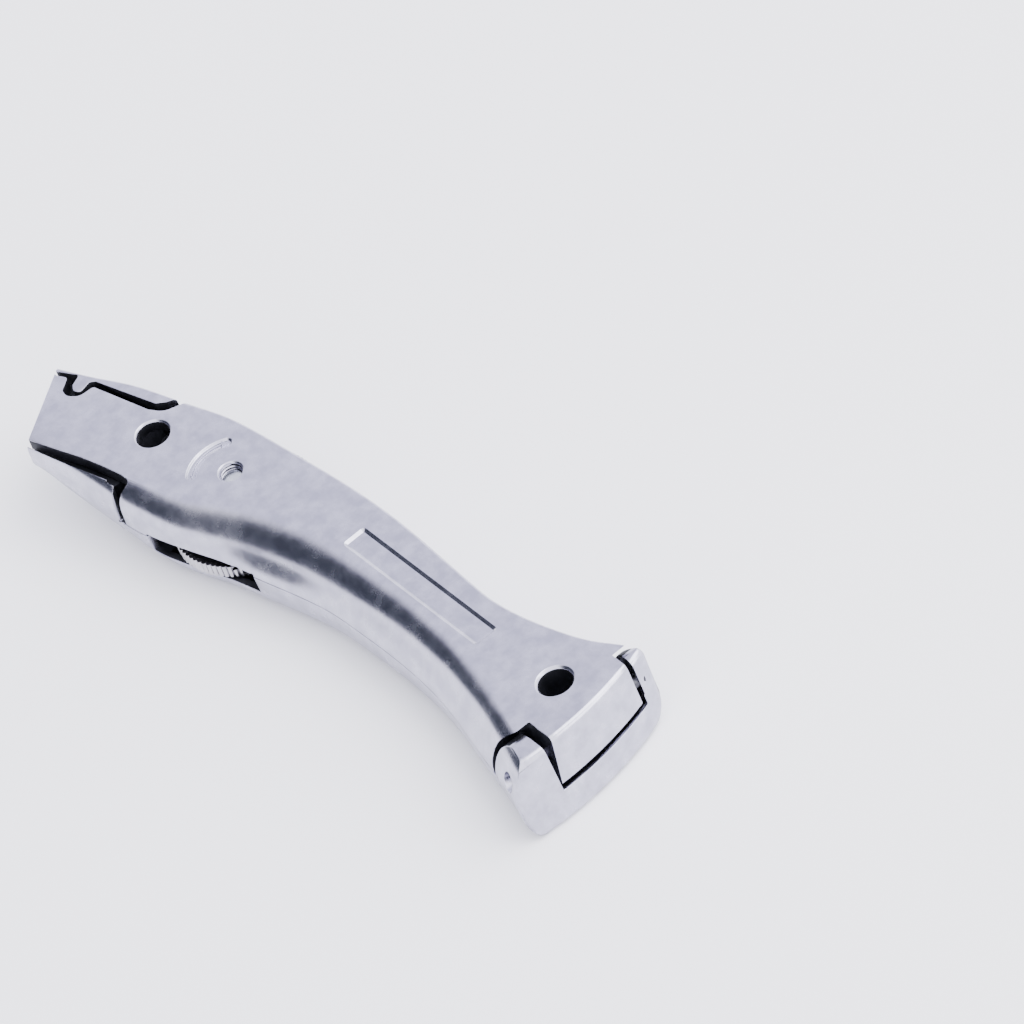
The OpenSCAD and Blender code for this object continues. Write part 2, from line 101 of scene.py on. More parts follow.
belly_line = [(-60, -28.5), (-44, -23.5), (-35.6, -21.9), (-19.7, -20), (-8.5, -18.6),
              (1, -16.2), (10, -13.6), (19.4, -11.5), (31, -9), (40, -7.6),
              (TAIL_X - 63.8, -7.1), (TAIL_X - 53.6, -7.2), (TAIL_X - 43.6, -7.9),
              (TAIL_X - 33.6, -9.5), (TAIL_X - 23.6, -11.8), (TAIL_X - 14.4, -13.8),
              (TAIL_X - 7, -15.6), (TAIL_X + 3, -18.4)]
crease_z = [(-60, TOP - 4.6), (-41, TOP - 5.4), (-33, TOP - 8), (-20, PART_Z), (-8, PART_Z),
            (TAIL_X + 3, PART_Z)]
under_z = [(-60, TOP - 7), (-44, TOP - 6.8), (-37, TOP - 9.8), (-26, TOP - 14.2),
           (-19, TOP - 16.6), (-10, 1.3), (-3, 0.1), (2, 0), (TAIL_X + 3, 0)]


def ease(t):
    return 3 * t * t - 2 * t ** 3


def quarter(steps):
    """Sine and cosine at even steps over a quarter turn."""
    angles = [math.radians(90 * i / steps) for i in range(steps + 1)]
    return [(math.sin(a), math.cos(a)) for a in angles]


def slope(points, i):
    a, b = points[max(i - 1, 0)], points[min(i + 1, len(points) - 1)]
    return (b[1] - a[1]) / (b[0] - a[0])


def curve(points, x):
    """Height at x of the smooth curve through the points."""
    i = 0
    while i < len(points) - 2 and x > points[i + 1][0]:
        i += 1
    (xa, ya), (xb, yb) = points[i], points[i + 1]
    w = xb - xa
    t = (x - xa) / w
    rise = ease(t)
    return ((1 - rise) * ya + rise * yb + (t ** 3 - 2 * t * t + t) * w * slope(points, i)
            + (t ** 3 - t * t) * w * slope(points, i + 1))


def section(x):
    """Cross-section of the knife at x as (y, z), from the spine crease over the top."""
    ys, flare = curve(spine_edge, x), curve(spine_flare, x)
    roll = curve(roll_radius, x)
    yb = curve(roll_line, x) + roll * math.sin(ROLL_A0)
    yc = curve(belly_line, x)
    zc, zb = curve(crease_z, x), max(curve(under_z, x), 0)
    tail = min(max((x - TAIL_X + 26) / 22, 0), 1)
    widest = 0.8 * (zc - zb)
    ur = min(UNDER_R + UNDER_GROWTH * tail * tail * (3 - 2 * tail), widest)
    br = min(BELLY_R, widest)
    ring = []
    for i in range(5):                        # spine wall, drawn in towards the top
        t = i / 5
        ring.append((ys + flare * (1 - t) ** 1.6, zc + (TOP - EDGE_R - zc) * t))
    for sine, cosine in quarter(8):           # rounded top edge at the spine
        ring.append((ys - EDGE_R + EDGE_R * cosine, TOP - EDGE_R + EDGE_R * sine))
    ring.append((0.5 * (ys + yb), TOP))
    for i in range(17):                       # roll at the belly
        a = ROLL_A1 * i / 16
        ring.append((yb - roll * math.sin(a), TOP - roll * (1 - math.cos(a))))
    start = Vector(ring[-1])
    skirt = Vector((yc, zc)) - start
    out = Vector((-math.cos(ROLL_A1), -math.sin(ROLL_A1))) * skirt.length * 0.9
    down = Vector((-0.1, -1)) * skirt.length
    for i in range(1, 13):                    # hollow below the roll, then the skirt
        t = i / 12
        p = start + skirt * ease(t) + out * (t ** 3 - 2 * t * t + t) + down * (t ** 3 - t * t)
        ring.append(tuple(p))
    draft, low = 0.25, zb + br
    for i in range(1, 3):                     # side of the base
        t = i / 3
        ring.append((yc + draft * t, zc + (low - zc) * t))
    for sine, cosine in quarter(10):          # lower belly edge
        ring.append((yc + draft + br - br * cosine, low - br * sine))
    low = zb + ur
    for sine, cosine in quarter(8):           # lower spine edge
        ring.append((ys + flare - ur + ur * sine, low - ur * cosine))
    for i in range(1, 3):
        ring.append((ys + flare, low + (zc - low) * i / 3))
    return ring


# ---- mesh helpers ----
def new_object(name, verts, faces):
    mesh = bpy.data.meshes.new(name)
    mesh.from_pydata([metres(*v) for v in verts], [], faces)
    obj = bpy.data.objects.new(name, mesh)
    bpy.context.scene.collection.objects.link(obj)
    fix_normals(obj)
    return obj


def fix_normals(obj):
    bm = bmesh.new()
    bm.from_mesh(obj.data)
    bmesh.ops.recalc_face_normals(bm, faces=bm.faces)
    bm.to_mesh(obj.data)
    bm.free()


def stack(name, rings):
    """Closed solid through rings of (x, y, z) points, one above the next."""
    n = len(rings[0])
    verts = [v for ring in rings for v in ring]
    faces = [(k * n + i, k * n + (i + 1) % n, (k + 1) * n + (i + 1) % n, (k + 1) * n + i)
             for k in range(len(rings) - 1) for i in range(n)]
    faces.append(tuple(range(n - 1, -1, -1)))
    faces.append(tuple((len(rings) - 1) * n + i for i in range(n)))
    return new_object(name, verts, faces)


def offset(path, d):
    """The closed path moved outwards by d."""
    area = sum(a[0] * b[1] - b[0] * a[1] for a, b in zip(path, path[1:] + path[:1]))
    side = 1 if area > 0 else -1
    moved = []
    for i, p in enumerate(path):
        a = Vector(p) - Vector(path[i - 1])
        b = Vector(path[(i + 1) % len(path)]) - Vector(p)
        a.normalize()
        b.normalize()
        n = Vector((a.y + b.y, -a.x - b.x)) * side
        size = max(n.length_squared, 0.8)
        moved.append((p[0] + n.x * 2 * d / size, p[1] + n.y * 2 * d / size))
    return moved


def rounded(path):
    """Path of (x, y) or (x, y, r) corners with each corner rounded to its radius r."""
    out = []
    for i, corner in enumerate(path):
        p = Vector(corner[:2])
        r = corner[2] if len(corner) > 2 else 0
        a = Vector(path[i - 1][:2]) - p
        b = Vector(path[(i + 1) % len(path)][:2]) - p
        if r == 0:
            out.append(tuple(p))
            continue
        half = a.angle(b) / 2
        reach = min(r / math.tan(half), 0.49 * a.length, 0.49 * b.length)
        a.normalize()
        b.normalize()
        start, end = p + a * reach, p + b * reach
        steps = max(3, int(math.degrees(math.pi - 2 * half) / 7))
        for k in range(steps + 1):
            t = k / steps
            out.append(tuple(start * (1 - t) ** 2 + p * 2 * t * (1 - t) + end * t * t))
    return out


def drafted(name, path, levels):
    """Upright solid whose outline at each (z, d) level is the path moved outwards by d."""
    return stack(name, [[(x, y, z) for x, y in offset(path, d)] for z, d in levels])


def prism(name, path, z0, z1):
    return stack(name, [[(x, y, z) for x, y in path] for z in (z0, z1)])


def arc(x, y, r, angles):
    return [(x + r * math.cos(a), y + r * math.sin(a)) for a in angles]


def circle(x, y, r, n=72):
    return arc(x, y, r, [2 * math.pi * i / n for i in range(n)])


def between(a, b, steps):
    """Even steps from a to b, both ends included."""
    return [a + (b - a) * i / steps for i in range(steps + 1)]


def turned(name, x, y, profile, n=72):
    """Solid of revolution about an upright axis through a profile of (r, z) points."""
    return stack(name, [[(px, py, z) for px, py in circle(x, y, r, n)] for r, z in profile])


def box(name, x0, x1, y0, y1, z0, z1):
    return prism(name, [(x0, y0), (x1, y0), (x1, y1), (x0, y1)], z0, z1)


def across(name, r, y0, y1, n=96):
    """Cylinder about the hinge pin's axis, from y0 to y1."""
    return stack(name, [[(PIN_X + x, y, PIN_Z + z) for x, z in circle(0, 0, r, n)]
                        for y in (y0, y1)])


def settle(obj, mod):
    """Puts the modifier's result in the mesh and takes the modifier off."""
    bpy.context.view_layer.update()
    graph = bpy.context.evaluated_depsgraph_get()
    mesh = bpy.data.meshes.new_from_object(obj.evaluated_get(graph))
    obj.modifiers.remove(mod)
    obj.data = mesh


def combine(obj, tools, kind):
    """Cuts, joins or keeps the tools' volume in obj, and deletes the tools."""
    for tool in tools:
        mod = obj.modifiers.new("combine", "BOOLEAN")
        mod.operation = kind
        mod.solver = "MANIFOLD"
        mod.object = tool
        settle(obj, mod)
        bpy.data.objects.remove(tool)
    return obj


def copy_of(obj, name):
    twin = obj.copy()
    twin.data = obj.data.copy()
    twin.name = name
    bpy.context.scene.collection.objects.link(twin)
    return twin


def soften(obj, width):
    """Small rounding along the piece's corners, as tumbling leaves it."""
    mod = obj.modifiers.new("soften", "BEVEL")
    mod.limit_method = "ANGLE"
    mod.angle_limit = math.radians(38)
    mod.width = width * MM
    mod.segments = 2
    mod.use_clamp_overlap = False
    settle(obj, mod)


def merge(obj, distance):
    """Welds points closer than the distance and drops edges across flat faces."""
    bm = bmesh.new()
    bm.from_mesh(obj.data)
    bmesh.ops.remove_doubles(bm, verts=bm.verts, dist=distance * MM)
    bmesh.ops.dissolve_limit(bm, angle_limit=math.radians(0.3), verts=bm.verts, edges=bm.edges)
    bm.to_mesh(obj.data)
    bm.free()


def shade(obj, material, angle):
    """Smooth faces with sharp edges where they meet at more than the angle."""
    tiny = 0.002 * MM
    bm = bmesh.new()
    bm.from_mesh(obj.data)
    bmesh.ops.remove_doubles(bm, verts=bm.verts, dist=tiny)
    bmesh.ops.dissolve_degenerate(bm, edges=bm.edges, dist=tiny)
    for face in bm.faces:
        face.smooth = True
    for edge in bm.edges:
        edge.smooth = len(edge.link_faces) == 2 and edge.calc_face_angle(0) < math.radians(angle)
    bm.to_mesh(obj.data)
    bm.free()
    obj.data.materials.clear()
    obj.data.materials.append(material)


# ---- materials ----
def linear(code):
    """sRGB hex colour as linear RGBA."""
    parts = [int(code[i:i + 2], 16) / 255 for i in (1, 3, 5)]
    parts = [c / 12.92 if c <= 0.04045 else ((c + 0.055) / 1.055) ** 2.4 for c in parts]
    return (*parts, 1.0)


def add(tree, kind, settings=None, **links):
    """Adds a node, sets its properties and values, and links its inputs."""
    node = tree.nodes.new(kind)
    for key, value in (settings or {}).items():
        if isinstance(key, str) and hasattr(node, key):
            setattr(node, key, value)
        else:
            node.inputs[key].default_value = value
    for key, socket in links.items():
        name = key.replace("_", " ")
        tree.links.new(socket, node.inputs[int(name[1:]) if name[1:].isdigit() else name])
    return node


def ramp(tree, socket, stops):
    """Colour ramp on the socket through (position, grey value or colour) stops."""
    node = add(tree, "ShaderNodeValToRGB", Fac=socket)
    elements = node.color_ramp.elements
    while len(elements) < len(stops):
        elements.new(0.5)
    for element, (at, value) in zip(elements, stops):
        element.position = at
        element.color = (value, value, value, 1) if isinstance(value, float) else value
    return node.outputs["Color"]


CLOUD = 1 / (4.0 * MM)            # noise scales: one over the size of the thing they draw
FINE_GRAIN = 1 / (0.35 * MM)
PITS = 1 / (1.3 * MM)
HAIRLINES = 1 / (9 * MM)
RELIEF = 0.02 * MM


def metal(name, light, dark, rough, pits=0.0, scratch=0.0):
    """Metal with slow tone changes, fine pits and hairline scratches on Object coordinates."""
    material = bpy.data.materials.new(name)
    material.use_nodes = True
    tree = material.node_tree
    shader = tree.nodes["Principled BSDF"]
    shader.inputs["Metallic"].default_value = 1.0
    coords = add(tree, "ShaderNodeTexCoord").outputs["Object"]
    cloud = add(tree, "ShaderNodeTexNoise", {"Scale": CLOUD, "Detail": 5.0, "Roughness": 0.6},
                Vector=coords)
    tone = add(tree, "ShaderNodeMix", {"data_type": "RGBA"},
               Factor=ramp(tree, cloud.outputs["Fac"], [(0.35, 0.0), (0.65, 1.0)]))
    tone.inputs["A"].default_value = linear(dark)
    tone.inputs["B"].default_value = linear(light)
    tree.links.new(tone.outputs["Result"], shader.inputs["Base Color"])
    fine = add(tree, "ShaderNodeTexNoise", {"Scale": FINE_GRAIN, "Detail": 3.0}, Vector=coords)
    gloss = add(tree, "ShaderNodeMapRange", {"To Min": rough - 0.06, "To Max": rough + 0.08},
                Value=cloud.outputs["Fac"])
    tree.links.new(gloss.outputs["Result"], shader.inputs["Roughness"])
    height = fine.outputs["Fac"]
    if pits:
        cells = add(tree, "ShaderNodeTexVoronoi", {"Scale": PITS}, Vector=coords)
        hollow = ramp(tree, cells.outputs["Distance"], [(0.0, 0.0), (0.16, 1.0)])
        height = add(tree, "ShaderNodeMix", {"Factor": pits}, A=height, B=hollow).outputs["Result"]
    if scratch:
        turn = add(tree, "ShaderNodeMapping", {"Rotation": (0, 0, 0.6), "Scale": (1, 14, 1)},
                   Vector=coords)
        lines = add(tree, "ShaderNodeTexNoise", {"Scale": HAIRLINES, "Detail": 6.0,
                                                 "Roughness": 0.75}, Vector=turn.outputs["Vector"])
        height = add(tree, "ShaderNodeMix", {"Factor": scratch}, A=height,
                     B=lines.outputs["Fac"]).outputs["Result"]
    relief = add(tree, "ShaderNodeBump", {"Strength": 0.35, "Distance": RELIEF}, Height=height)
    tree.links.new(relief.outputs["Normal"], shader.inputs["Normal"])
    return material


# Tumbled zinc: soft clouds of a cool grey with a few pits and hairlines, so that the rolls show
# broad light and dark bands with slightly blurred edges.
zinc = metal("zinc_die_casting_tumbled", "#BDBCCB", "#A6A5B5", 0.25, pits=0.35, scratch=0.4)
# Inner walls: a dull as-cast finish whose dark colour is painted shade, so the gaps read black.
inside_painted_shade = metal("zinc_as_cast_painted_shade", "#3A3B42", "#2A2B31", 0.55, pits=0.3)
# Nickel plating: small clear highlights on each tooth of the knurl.
wheel_plate = metal("steel_nickel_plated", "#C8C6CC", "#B2B0B6", 0.2, scratch=0.3)
# Bright zinc plating: the lightest metal, it picks the screw out in its hole.
screw_steel = metal("steel_bright_zinc_plated", "#D8DADC", "#BFC3C8", 0.25, scratch=0.3)
# Oiled ground pin with an even shine; its dark colour is painted shade that keeps the hinge bore
# dark.
pin_steel = metal("steel_ground_pin", "#4A4A50", "#3C3C42", 0.3)
# Tempered strip: mid grey with drawn hairlines along it.
spring_steel = metal("spring_steel_tempered", "#8A8D94", "#6E7178", 0.3, scratch=0.4)
# Blued plate: near black with a cold sheen, set off from the grey bed round it.
blued_steel = metal("steel_hardened_blued", "#3C4048", "#2E3138", 0.4)
# Ground blades: strong grinding lines that break up a bright flat face.
blade_steel = metal("tool_steel_ground_blade", "#B9BBC0", "#A2A5AB", 0.24, scratch=0.7)
# Sintered bush: a warm, dull and pitted ring, the only brown in the knife.
bronze = metal("bronze_sintered_bush", "#B8905A", "#9C7743", 0.45, pits=0.6)

# ---- nose and tail sizes ----
TONGUE_Y = (-4.1, 18.6)
SEAM = 1.4                        # gap round the ears
PIN_X = TAIL_X - 7.3
PIN_Z = TOP - 7.3
PIN_R = 1.4
PIN_END = 21.6
EAR_R = 6.4
TONGUE_Z = TOP - 11.3
TONGUE_FLARE = 2.0                # how much wider the tongue is at its foot, on the belly side
LEDGE_Z = TONGUE_Z - 1.5
EAR_GAP = 0.35                    # from the tongue's foot to the belly ear
LIP = 0.9                         # wall left outside the room in which the tongue swings
TONGUE_EDGE = 1.3
END_R = 77.0                      # arc of the end face in plan, and where its middle lies in y
END_Y = -7.0
END_CX = TAIL_X - END_R
CAVITY_X = (-26.0, TAIL_X - 21)
WHEEL_R, WHEEL_T = 16.5, 3.0
WHEEL_Z = PART_Z - WHEEL_T - 1.2
WHEEL_TOP = WHEEL_Z + WHEEL_T
WHEEL_ROOM = 0.7
SLOT_Z = (WHEEL_Z - 0.5, WHEEL_TOP + 1.9)
WASHER_T = 0.5
SPRING_T = 0.4
BOSS_TOP = WHEEL_Z - PLAY - WASHER_T
COVER_BOSS = WHEEL_TOP + 2 * PLAY + SPRING_T
SCREW_HOLE_R = 2.5
NOSE_HOLE = (-22.5, -3.8, 3.6)    # x, y and radius
TAIL_HOLE = (TAIL_X - 14.6, 6.5, 3.75)
RECESS_DEPTH = 0.45
ARROW_R = 8.6                     # turning-direction mark, about the screw
BUSH_R = 3.7
RING_R = 5.4
TEETH = 84
TOOTH_R = 0.62
THREAD_PITCH = 0.8
THREAD_TURNS = 3.6
SWING_R = 7.8                     # room for the corner of the tongue as it turns about the pin
SOFT_EDGE = 0.16                  # rounding that tumbling leaves on the castings

plate_path = rounded([(-64, -6.5), (-52.9, -6.4), (-50.6, -5.3, 0.9), (-48.6, -8.3, 1.2),
                      (-46.6, -8.8, 2.2), (-44.2, -7, 2.6), (-43.9, -3.5, 0.9), (-28.8, -0.1, 2),
                      (-25.6, 1.6, 4), (-23.2, 7.5), (-23, 30), (0, 30),
                      (0, -30), (-16.5, -30), (-16.4, -20), (-15.7, -15.2, 1.6),
                      (-19.5, -15.4, 8), (-24.5, -16.3), (-30.3, -17.6),
                      (-36.5, -19.5), (-43.2, -21.5), (-64, -27.8)])
pocket_path = rounded([(-64, -9.6), (-53.4, -5.5, 1), (-49.1, -3.4, 0.7), (-48.0, -6.0, 0.8),
                       (-46.6, -7.0, 1.1), (-44.9, -6.3, 1), (-45.6, -3.2, 0.8),
                       (-44.7, -2.3, 0.8), (-29.0, 1.8, 1.6), (-27.2, 3.6, 1.5), (-26, 6),
                       (-25, 30), (0, 30), (0, -30), (-18.5, -30),
                       (-18.4, -17.3, 1.3), (-31.9, -20.2), (-42.8, -22.7), (-64, -28.8)])
block_path = [(-64, -30), (-64, 30), (-29.5, 30), (-29.5, 1.2), (-27.4, -4), (-20.8, -15.6),
              (-21.5, -30)]


def cavity(inner_belly, inner_spine):
    """Plan of the hollow handle between two curves given as functions of x."""
    xs = between(*CAVITY_X, 60)
    return [(x, inner_belly(x)) for x in xs] + [(x, inner_spine(x)) for x in reversed(xs)]


def wheel_slot():
    """Room for the wheel, with a window through the belly wall and one through the spine wall."""
    lo, hi = SLOT_Z
    return [box("slot", -10.2, 18.2, -30, -6, lo, hi), box("slot", -12.5, 13.5, 6, 30, lo, hi),
            prism("slot", circle(0, 0, WHEEL_R + WHEEL_ROOM, 120), lo - 0.01, hi + 0.01)]


def build_body():
    """The closed knife as one solid, before it is parted into cover and base."""
    rings = [[(x, y, z) for y, z in section(x)] for x in between(NOSE_X - 2.5, TAIL_X + 1.5, 230)]
    body = stack("body_loft", rings)
    # slanted front edge of the nose
    a = math.radians(-55.8)
    x, y, along, out = -53.9, -6.3, (math.cos(a), math.sin(a)), (math.sin(a), -math.cos(a))
    front = prism("front", [(x + along[0] * s + out[0] * w, y + along[1] * s + out[1] * w)
                            for s, w in ((-40, 0), (40, 0), (40, 30), (-40, 30))], -1, TOP + 1)
    end = arc(END_CX, END_Y, END_R, [math.radians(t) for t in range(-24, 30)])
    rear = prism("rear", end + [(TAIL_X + 40, 45), (TAIL_X + 40, -50)], -1, TOP + 1)
    return combine(body, [front, rear], "DIFFERENCE")


def end_lean(y, z):
    """How far the end face leans in at height z: most at the belly."""
    spine_share = min(max((y + 17) / 41, 0), 1)
    return (3.2 - 2.7 * spine_share) * z / TOP


def end_x(y, z):
    """End face of the handle: an arc in plan that leans in towards the top."""
    return END_CX + math.sqrt(END_R ** 2 - (y - END_Y) ** 2) - end_lean(y, z)


def flank(z):
    """Belly side of the tongue, which is wider at its foot."""
    return TONGUE_Y[0] - TONGUE_FLARE * (TOP - z) / (TOP - TONGUE_Z)


def tail_form(top, edge_r, corner_r, foot_r):
    """Plan of the handle with rounded corners at the tail, drawn in at the bottom and the top."""
    x = TAIL_X - 4
    low = curve(belly_line, x) - 0.02 - 1.3
    high = curve(spine_edge, x) + curve(spine_flare, x) + 0.02 + 1.2
    a0, a1 = math.asin((low - END_Y) / END_R), math.asin((high - END_Y) / END_R)
    end = arc(END_CX, END_Y, END_R, between(a0, a1, 20))
    belly = [(x, curve(belly_line, x) - 0.3) for x in (TAIL_X - 60, TAIL_X - 30, TAIL_X - 14)]
    spine = [(x, curve(spine_edge, x) + curve(spine_flare, x) + 0.4)
             for x in (TAIL_X - 14, TAIL_X - 30, TAIL_X - 60)]
    plan = rounded([(-80, -40), (TAIL_X - 75, -40)] + belly + [(*end[0], corner_r)] + end[4:17]
                   + [(*end[-1], 0.6 * corner_r)] + spine + [(TAIL_X - 75, 40), (-80, 40)])
    levels = [(foot_r - foot_r * cosine, -foot_r * (1 - sine)) for sine, cosine in quarter(8)]
    levels += [(top - edge_r + edge_r * sine, -edge_r * (1 - cosine)) for sine, cosine in quarter(8)]
    form = stack("tail_form", [[(px - (end_lean(py, z) if px > TAIL_X - 13 else 0), py, z)
                                for px, py in offset(plan, d)] for z, d in levels])
    return combine(form, [box("rest", -90, TAIL_X - 22, -FAR, FAR, -1, TOP + 1)], "UNION")


def tongue_form():
    """The cover's tongue: its end follows the end face and has a rounded top edge."""
    inset = 0.1
    levels = [(TONGUE_Z, inset)]
    for sine, cosine in quarter(8):
        levels.append((TOP + 0.02 - TONGUE_EDGE * (1 - sine), inset + TONGUE_EDGE * (1 - cosine)))
    rings = []
    for z, d in levels:
        ys = between(flank(z), TONGUE_Y[1], 12)
        rings.append([(PIN_X - 5, ys[-1], z), (PIN_X - 5, ys[0], z)]
                     + [(end_x(y, z) - d, y, z) for y in ys])
    return stack("tongue", rings)


def ear_room():
    """What is taken out of the cover round both ears, leaving the tongue between them."""
    reach = EAR_R + SEAM
    room = across("room", reach, -40, FAR)
    combine(room, [box("room", PIN_X - reach + 0.4, PIN_X + 50, -40, FAR, PART_Z - 3, PIN_Z),
                   box("room", PIN_X, PIN_X + 50, -40, FAR, PIN_Z - 1, TOP + 2)], "UNION")
    tongue = stack("between", [[(PIN_X - 20, flank(z), z), (PIN_X + 60, flank(z), z),
                                (PIN_X + 60, TONGUE_Y[1], z), (PIN_X - 20, TONGUE_Y[1], z)]
                               for z in (PART_Z - 6, TOP + 4)])
    return combine(room, [tongue], "DIFFERENCE")


def countersunk(name, x, y, r, chamfer, past):
    """Cutter for a round hole through the cover with a 45 degree cone that runs past its top."""
    return turned(name, x, y, [(r, PART_Z), (r, TOP - chamfer), (r + chamfer + past, TOP + past)])


def build_cover(body):
    """Upper casting: everything above the parting plane, the nose plate and the tongue."""
    cover = copy_of(body, "cover_shell")
    keep = box("keep", NOSE_X - 9, PIN_X - 0.5, -FAR, FAR, PART_Z + 0.06, TOP + 2)
    combine(keep, [tongue_form()], "UNION")
    combine(cover, [keep], "INTERSECT")
    trim = box("trim", -66, -6, -40, 40, PART_Z - 1, TOP + 2)
    plate = prism("plate", plate_path, PART_Z - 2, TOP + 3)
    combine(trim, [plate], "DIFFERENCE")

    def inner_belly(x):
        return max(curve(roll_line, x) - ROLL_OUT, curve(belly_line, x)) + WALL + 0.2

    hollow = prism("hollow", cavity(inner_belly, lambda x: curve(spine_edge, x) - WALL),
                   PART_Z - 1, PLATE_Z + 0.001)
    under_nose = prism("under", [(-70, -40), (-70, 40), (-23.8, 40), (-23.8, 5.5), (-16.5, -16.2),
                                 (-16.5, -40)], PART_Z - 1, PLATE_Z)
    combine(hollow, [box("solid", PIN_X - 8.5, PIN_X + 40, -40, 40, 0, TOP)], "DIFFERENCE")
    combine(cover, [trim, under_nose, hollow, ear_room()] + wheel_slot(), "DIFFERENCE")
    combine(cover, [prism("boss", circle(0, 0, 5.5), COVER_BOSS, PLATE_Z + 1)], "UNION")
    holes = [countersunk("thread_hole", 0, 0, SCREW_HOLE_R, 0.36, 0.44),
             countersunk("nose_hole", *NOSE_HOLE, 0.4, 0.5),
             countersunk("tail_hole", *TAIL_HOLE, 0.55, 0.55),
             across("pin_hole", PIN_R + PLAY, -40, FAR, 48)]
    combine(cover, holes + [label_recess(), arrow_recess()], "DIFFERENCE")
    return cover


def label_recess():
    """Long blank recess with sloped sides."""
    mid, y, length, width = (25 + TAIL_X - 24.9) / 2, 5.15, 46.4, 5.9
    x0, x1, y0, y1 = mid - length / 2, mid + length / 2, y - width / 2, y + width / 2
    outline = rounded([(*corner, 1.1) for corner in ((x0, y0), (x1, y0), (x1, y1), (x0, y1))])
    slopes = ((TOP - RECESS_DEPTH, -0.75), (TOP, 0), (TOP + RECESS_DEPTH, 0.75))
    return drafted("label", outline, slopes)


def arc_band(half, a0, a1):
    """Curved band of half width half on the mark's radius, with round ends."""
    def cap(end, turn):
        x, y = ARROW_R * math.cos(end), ARROW_R * math.sin(end)
        return arc(x, y, half, [end + turn + math.pi * i / 8 for i in range(1, 8)])

    return (arc(0, 0, ARROW_R + half, between(a0, a1, 28)) + cap(a1, 0)
            + arc(0, 0, ARROW_R - half, between(a1, a0, 28)) + cap(a0, math.pi))


def arrow_recess():
    """Turning-direction mark: a curved groove round the screw with a raised arrow in it."""
    a0, a1 = math.radians(148), math.radians(224)
    floor = TOP - RECESS_DEPTH
    groove = drafted("groove", arc_band(1.25, a0, a1), ((floor, -0.3), (TOP, 0), (TOP + 0.3, 0.2)))
    line = prism("line", arc_band(0.22, a0 + 0.06, a1), floor - 1, TOP + 1)
    out = Vector((math.cos(a0), math.sin(a0)))
    back = Vector((-out.y, out.x)) * 1.5
    tip = Vector((math.cos(a0 - 0.04), math.sin(a0 - 0.04))) * ARROW_R
    head = [tuple(tip), tuple(tip + back + out * 0.85), tuple(tip + back - out * 0.85)]
    return combine(groove, [line, prism("head", head, floor - 1, TOP + 1)], "DIFFERENCE")


def nose_form():
    """The nose above the parting plane: cheeks round the blade's pocket."""
    nose = prism("nose", [(-64, -30), (-64, 30), (-25.4, 30), (-26, 6), (-17.3, -18.6),
                          (-17.3, -30)], PART_Z - 2, TOP + 1)
    deep = prism("deep", pocket_path, PART_Z, TOP + 2)
    combine(deep, [prism("block", block_path, 0, TOP + 3)], "DIFFERENCE")
    return combine(nose, [prism("pocket", pocket_path, BED_Z, TOP + 2), deep], "DIFFERENCE")


def ear_forms(y0, y1):
    """Both ears round the pin, outside y0 and y1."""
    ears = []
    for low, high in ((-40, y0), (y1, FAR)):
        ears.append(across("ear", EAR_R, low, high))
        ears.append(box("ear", PIN_X - EAR_R, PIN_X + 40, low, high, PART_Z - 2, PIN_Z))
        ears.append(box("ear", PIN_X, PIN_X + 40, low, high, PIN_Z - 1, PIN_Z + EAR_R))
    return ears


def handle_hollow():
    """The hollow handle, less the blade block and the steps of the nose's floor."""
    hollow = prism("hollow", cavity(lambda x: curve(belly_line, x) + WALL,
                                    lambda x: curve(spine_edge, x) + curve(spine_flare, x) - WALL),
                   FLOOR_T, TOP)
    solids = [prism("block", block_path, 0, TOP + 1)]
    for x, z in ((-21.5, 9), (-16, 7), (-8, 4.6)):
        solids.append(box("step", CAVITY_X[0] - 5, x, -40, 40, 0, z))
    return combine(hollow, solids, "DIFFERENCE")


def swing_room(y0, y1):
    """Where the tongue swings: a well that stops short of the end face, and the room above it."""
    xs = between(PIN_X - 5, CAVITY_X[1] - 6, 12)
    inner = [(x, min(y1, curve(spine_edge, x) - 1.8)) for x in xs]      # keeps the spine wall whole
    start = [p for p in inner if p[0] > CAVITY_X[1]]
    lip = [(end_x(y, LEDGE_Z) - LIP, y) for y in between(y0, y1, 12)]
    past = TAIL_X + 9
    return [prism("swing", start + [(start[-1][0], y0)] + lip, PIN_Z - SWING_R, TOP + 1),
            prism("swing", inner + [(inner[-1][0], y0), (past, y0), (past, y1)], LEDGE_Z, TOP + 1)]


def build_base(body):
    """Lower casting: the handle's tray, the nose with its cheeks and the two ears."""
    base = copy_of(body, "base_shell")
    y0, y1 = flank(TONGUE_Z) - EAR_GAP, TONGUE_Y[1] + SEAM
    keep = box("keep", NOSE_X - 9, TAIL_X + 9, -FAR, FAR, -1, PART_Z - 0.04)
    combine(keep, [nose_form()] + ear_forms(y0, y1), "UNION")
    combine(base, [keep], "INTERSECT")
    combine(base, [handle_hollow()] + swing_room(y0, y1) + wheel_slot(), "DIFFERENCE")
    clip_x, clip_y, clip_z = TAIL_X - 41.5, 3, FLOOR_T + 5 * BLADE_T + PLAY
    combine(base, [prism("boss", circle(0, 0, 7), FLOOR_T / 2, BOSS_TOP),
                   prism("post", circle(clip_x, clip_y, 4, 48), FLOOR_T / 2, clip_z)], "UNION")
    combine(base, [tail_form(PIN_Z + EAR_R, 1.6, 4.2, 2.2)], "INTERSECT")
    combine(base, [prism("bush_bore", circle(0, 0, BUSH_R), 1.5, TOP),
                   prism("ring_recess", circle(0, 0, RING_R), -1, 1.5),
                   across("pin_bore", PIN_R + 0.01, -40, PIN_END + 0.1, 48),
                   across("pin_mouth", PIN_R + 0.6, -40, -12.2, 48)], "DIFFERENCE")
    return base


